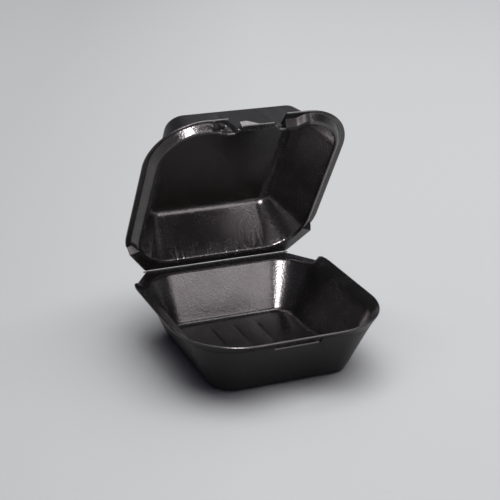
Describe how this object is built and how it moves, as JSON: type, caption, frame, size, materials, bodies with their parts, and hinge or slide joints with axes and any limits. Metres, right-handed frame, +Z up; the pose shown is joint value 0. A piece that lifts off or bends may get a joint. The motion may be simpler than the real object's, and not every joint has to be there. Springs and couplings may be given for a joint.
{
  "type": "foam clamshell container",
  "caption": "Square foam clamshell food container, half open: a tapered tray and a matching lid joined by a crease at the back, with a sloped rim flange, a ridge round the lid and a tongue latch.",
  "frame": {"origin": "centre of the tray's flat bottom, on the table", "axes": "+Z up, -Y towards the latch at the front, +Y towards the crease at the back, +X to the right seen from the front"},
  "size_m": [0.1494, 0.1669, 0.168],
  "materials": {
    "foam": "satin pressed foam with a fine cell grain"
  },
  "bodies": {
    "tray": {"tray": "foam"},
    "lid": {"lid": "foam"}
  },
  "joints": [
    {"name": "lid_crease", "type": "hinge", "parent": "tray", "child": "lid", "pos_m": [0, 0.0719, 0.038], "axis": [-1, 0, 0], "range_deg": [-61, 119]}
  ]
}
